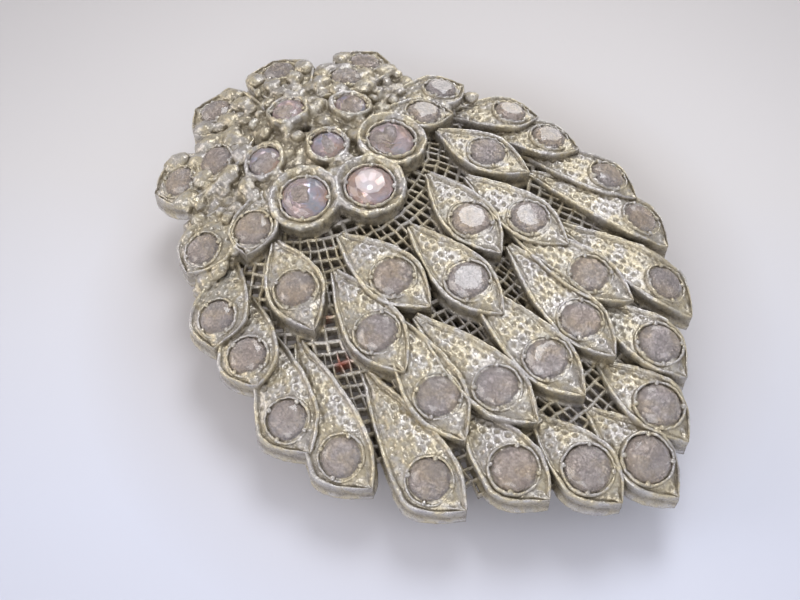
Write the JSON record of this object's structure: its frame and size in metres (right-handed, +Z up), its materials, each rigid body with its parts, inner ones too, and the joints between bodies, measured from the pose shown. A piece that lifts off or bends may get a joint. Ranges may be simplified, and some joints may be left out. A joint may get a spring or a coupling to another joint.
{
  "type": "rhinestone hair clip",
  "caption": "Drop-shaped domed openwork hair ornament set with round rhinestones, on a sprung toothed clip.",
  "frame": {"origin": "on the flat underside of the lever's bow, under the middle of the ring of rim stones", "axes": "+X along the ornament towards its pointed tail, +Y across it, +Z up out of its domed front"},
  "size_m": [0.0604, 0.0448, 0.0119],
  "materials": {
    "cast_metal": "plated pot metal, bright on the edges, dark and dusty in the recesses",
    "clear_stone": "faceted, foil-backed, with a faint iridescent coating",
    "sheet_steel": "satin, worn plating",
    "spring_steel": "dull, with traces of rust"
  },
  "bodies": {
    "ornament": {"clip_base_plate": "sheet_steel", "crown_stone_1": "clear_stone", "crown_stone_2": "clear_stone", "crown_stone_3": "clear_stone", "crown_stone_4": "clear_stone", "crown_stone_5": "clear_stone", "crown_stone_6": "clear_stone", "crown_stone_7": "clear_stone", "hinge_pin": "spring_steel", "middle_stone_01": "clear_stone", "middle_stone_02": "clear_stone", "middle_stone_03": "clear_stone", "middle_stone_04": "clear_stone", "middle_stone_05": "clear_stone", "middle_stone_06": "clear_stone", "middle_stone_07": "clear_stone", "middle_stone_08": "clear_stone", "middle_stone_09": "clear_stone", "middle_stone_10": "clear_stone", "middle_stone_11": "clear_stone", "middle_stone_12": "clear_stone", "middle_stone_13": "clear_stone", "middle_stone_14": "clear_stone", "middle_stone_15": "clear_stone", "middle_stone_16": "clear_stone", "ornament_casting": "cast_metal", "rim_stone_01": "clear_stone", "rim_stone_02": "clear_stone", "rim_stone_03": "clear_stone", "rim_stone_04": "clear_stone", "rim_stone_05": "clear_stone", "rim_stone_06": "clear_stone", "rim_stone_07": "clear_stone", "rim_stone_08": "clear_stone", "rim_stone_09": "clear_stone", "rim_stone_10": "clear_stone", "rim_stone_11": "clear_stone", "rim_stone_12": "clear_stone", "rim_stone_13": "clear_stone", "rim_stone_14": "clear_stone", "rim_stone_15": "clear_stone", "rim_stone_16": "clear_stone", "rim_stone_17": "clear_stone", "rim_stone_18": "clear_stone", "rim_stone_19": "clear_stone", "rim_stone_20": "clear_stone", "rim_stone_21": "clear_stone", "rivet_head_end": "sheet_steel", "rivet_tail_end": "sheet_steel", "torsion_spring": "spring_steel"},
    "lever": {"clip_lever": "sheet_steel"}
  },
  "joints": [
    {"name": "lever_hinge", "type": "hinge", "parent": "ornament", "child": "lever", "pos_m": [-0.012, 0, 0.0033], "axis": [0, 1, 0], "range_deg": [0, 22], "stiffness_Nm_per_rad": 0.03, "springref_deg": -20.05, "deforming": ["torsion_spring"]}
  ]
}
